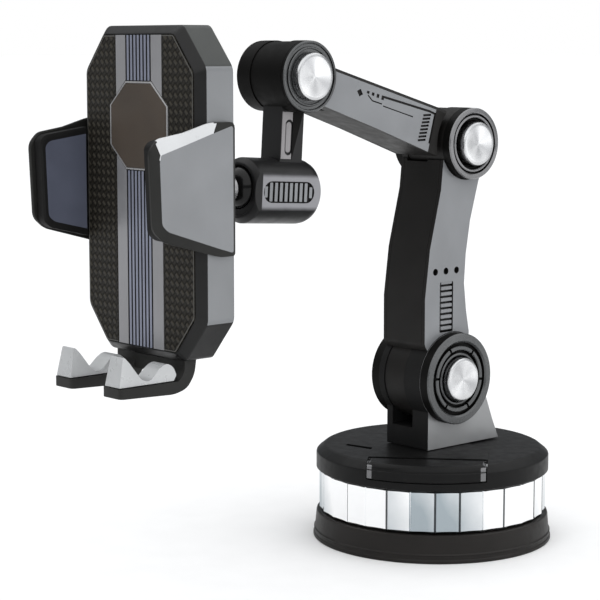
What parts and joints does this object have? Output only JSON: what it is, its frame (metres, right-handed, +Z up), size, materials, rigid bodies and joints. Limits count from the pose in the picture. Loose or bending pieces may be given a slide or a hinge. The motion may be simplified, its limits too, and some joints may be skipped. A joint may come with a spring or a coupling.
{
  "type": "phone mount",
  "caption": "Car phone mount: suction base with lock lever, swivel bracket, folding arm, ball joint and a cradle with geared side clamps and a sliding foot.",
  "frame": {"origin": "centre of the base's underside, on the surface that the mount sticks to", "axes": "+Z up from the base, -Y the way the cradle's front faces, hinges of the arm along X"},
  "size_m": [0.0878, 0.2004, 0.187],
  "materials": {
    "rubber": "matt",
    "gel": "tacky",
    "black_plastic": "satin gloss",
    "dark_plastic": "fine grain",
    "grey_plastic": "satin",
    "silver_plastic": "satin",
    "chrome": "polished",
    "steel": "zinc plated",
    "nylon": "natural",
    "carbon_film": "woven pattern",
    "pad_rubber": "matt"
  },
  "bodies": {
    "base": {"suction_cup": "rubber", "gel_pad": "gel", "base_frame": "black_plastic", "base_ring": "chrome", "top_cover": "black_plastic", "lever_pin": "steel"},
    "lever": {"lock_lever": "black_plastic"},
    "stem": {"suction_stem": "nylon", "lift_yoke": "steel"},
    "bracket": {"hinge_bracket": "dark_plastic", "swivel_washer": "steel", "swivel_screw": "steel", "lower_hinge_disc_near": "dark_plastic", "lower_hinge_disc_far": "dark_plastic", "lower_hinge_bolt": "steel", "lower_hinge_nut": "steel", "lower_hinge_cap": "silver_plastic"},
    "lower_arm": {"lower_arm": "dark_plastic", "lower_arm_plate_near": "grey_plastic", "lower_arm_plate_far": "grey_plastic", "lower_hinge_friction_ring": "rubber", "elbow_disc_near": "dark_plastic", "elbow_disc_far": "dark_plastic", "elbow_bolt": "steel", "elbow_nut": "steel", "elbow_cap": "silver_plastic"},
    "upper_arm": {"upper_arm": "dark_plastic", "upper_arm_plate_near": "grey_plastic", "upper_arm_plate_far": "grey_plastic", "elbow_friction_ring": "rubber", "wrist_disc_near": "dark_plastic", "wrist_disc_far": "dark_plastic", "wrist_bolt": "steel", "wrist_nut": "steel", "wrist_cap": "silver_plastic"},
    "link": {"ball_link": "black_plastic", "grip_insert_near": "dark_plastic", "grip_insert_far": "dark_plastic", "ball_tension_screw": "steel"},
    "ball": {"ball_head": "black_plastic"},
    "neck": {"ball_neck": "silver_plastic"},
    "cradle": {"cradle_frame": "dark_plastic", "back_cover": "dark_plastic", "center_strip_lower": "silver_plastic", "center_strip_upper": "silver_plastic", "center_pad": "black_plastic", "panel_left": "carbon_film", "panel_right": "carbon_film", "button_spring": "steel"},
    "clamp_right": {"clamp_slide_right": "nylon", "clamp_plate_right": "grey_plastic", "clamp_pad_right": "pad_rubber"},
    "clamp_left": {"clamp_slide_left": "nylon", "clamp_plate_left": "grey_plastic", "clamp_pad_left": "pad_rubber"},
    "gear": {"pinion": "nylon"},
    "foot": {"foot_bracket": "dark_plastic", "foot_pad_left": "silver_plastic", "foot_pad_right": "silver_plastic"},
    "button": {"release_button": "grey_plastic"}
  },
  "joints": [
    {"name": "base_swivel", "type": "hinge", "parent": "base", "child": "bracket", "pos_m": [0, 0, 0.0346], "axis": [0, 0, 1], "continuous": true},
    {"name": "lever_lock", "type": "hinge", "parent": "base", "child": "lever", "pos_m": [0.01968, -0.02264, 0.0326], "axis": [-0.7547, -0.6561, 0], "range_deg": [0, 50]},
    {"name": "stem_lift", "type": "slide", "parent": "base", "child": "stem", "axis": [0, 0, 1], "range_m": [-0.002, 0]},
    {"name": "lower_hinge", "type": "hinge", "parent": "bracket", "child": "lower_arm", "pos_m": [0, -0.0009, 0.0604], "axis": [1, 0, 0], "range_deg": [-70, 75]},
    {"name": "elbow_hinge", "type": "hinge", "parent": "lower_arm", "child": "upper_arm", "pos_m": [0, 0.0058, 0.1457], "axis": [-1, 0, 0], "range_deg": [-10, 100]},
    {"name": "wrist_hinge", "type": "hinge", "parent": "upper_arm", "child": "link", "pos_m": [0, -0.0722, 0.1705], "axis": [1, 0, 0], "range_deg": [-60, 30]},
    {"name": "ball_pitch", "type": "hinge", "parent": "link", "child": "ball", "pos_m": [0, -0.0912, 0.1339], "axis": [1, 0, 0], "range_deg": [-18, 18]},
    {"name": "ball_yaw", "type": "hinge", "parent": "ball", "child": "neck", "pos_m": [0, -0.0912, 0.1339], "axis": [0, 0, 1], "range_deg": [-18, 18]},
    {"name": "cradle_spin", "type": "hinge", "parent": "neck", "child": "cradle", "pos_m": [0, -0.121, 0.1339], "axis": [0, 1, 0], "continuous": true},
    {"name": "clamp_right_slide", "type": "slide", "parent": "cradle", "child": "clamp_right", "axis": [1, 0, 0], "range_m": [0, 0.017]},
    {"name": "clamp_left_slide", "type": "slide", "parent": "cradle", "child": "clamp_left", "axis": [-1, 0, 0], "range_m": [0, 0.017]},
    {"name": "pinion_spin", "type": "hinge", "parent": "cradle", "child": "gear", "pos_m": [0, -0.1292, 0.136], "axis": [0, 1, 0], "range_deg": [0, 165]},
    {"name": "foot_slide", "type": "slide", "parent": "cradle", "child": "foot", "axis": [0, 0, -1], "range_m": [0, 0.012]},
    {"name": "release_press", "type": "slide", "parent": "cradle", "child": "button", "axis": [0, -1, 0], "range_m": [0, 0.0015], "stiffness_N_per_m": 300, "springref_m": -0.002}
  ],
  "couplings": [
    {"joint": "lever_lock", "follows": "stem_lift", "rad_per_m": -436.3},
    {"joint": "clamp_left_slide", "follows": "clamp_right_slide", "ratio": 1},
    {"joint": "pinion_spin", "follows": "clamp_right_slide", "rad_per_m": 166.67}
  ]
}
